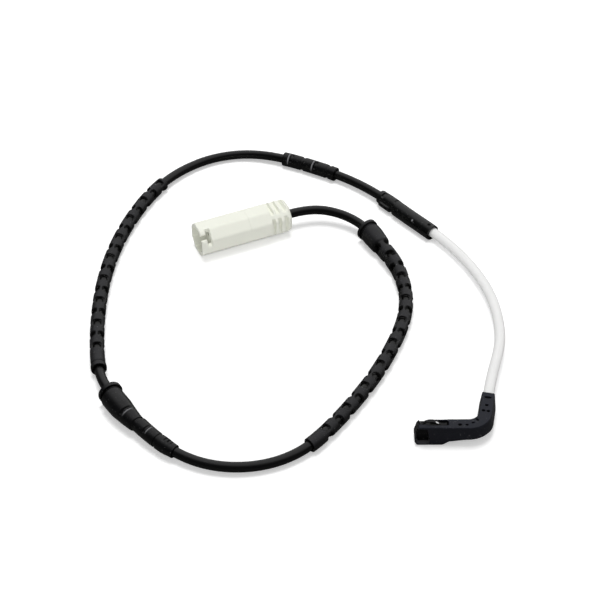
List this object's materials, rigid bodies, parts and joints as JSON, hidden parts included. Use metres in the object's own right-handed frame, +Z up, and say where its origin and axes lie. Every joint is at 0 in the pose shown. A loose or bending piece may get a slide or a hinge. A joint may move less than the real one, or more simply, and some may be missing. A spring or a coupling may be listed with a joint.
{
  "type": "brake pad wear sensor",
  "caption": "Looped brake pad wear sensor cable with a white plug, rubber grommets and sleeves, a clear sleeved lead and an angled sensor head.",
  "frame": {"origin": "centre of the sensor head's own footprint, on the surface that everything lies on", "axes": "+Z up from the surface, +X along the head's tip arm towards its bend, +Y towards the connector and the loop of cable"},
  "size_m": [0.1649, 0.1914, 0.0138],
  "materials": {
    "cream_plastic": "satin moulded",
    "tinned_brass": "tinned",
    "grey_wire": "satin",
    "cable_jacket": "satin extruded",
    "black_rubber": "satin moulded",
    "milky_sleeve": "milky, slightly see-through",
    "head_plastic": "matte moulded",
    "spring_steel": "bright"
  },
  "bodies": {
    "root": {"connector_shell": "cream_plastic", "connector_strain_relief": "cream_plastic", "contact_carrier": "cream_plastic", "terminal_1": "tinned_brass", "terminal_2": "tinned_brass", "plug_core_1": "grey_wire", "plug_core_2": "grey_wire", "cable_jacket": "cable_jacket", "grommet_sleeve": "black_rubber", "short_grommet": "black_rubber", "long_sleeve": "black_rubber", "short_sleeve": "black_rubber", "splice_housing": "black_rubber", "splice_core_1": "grey_wire", "splice_core_2": "grey_wire", "splice_crimp_1": "tinned_brass", "splice_crimp_2": "tinned_brass", "white_sleeve": "milky_sleeve", "sensor_wire_1": "grey_wire", "sensor_wire_2": "grey_wire", "sensor_head": "head_plastic", "wear_contact": "tinned_brass", "spring_clip": "spring_steel"}
  },
  "joints": []
}
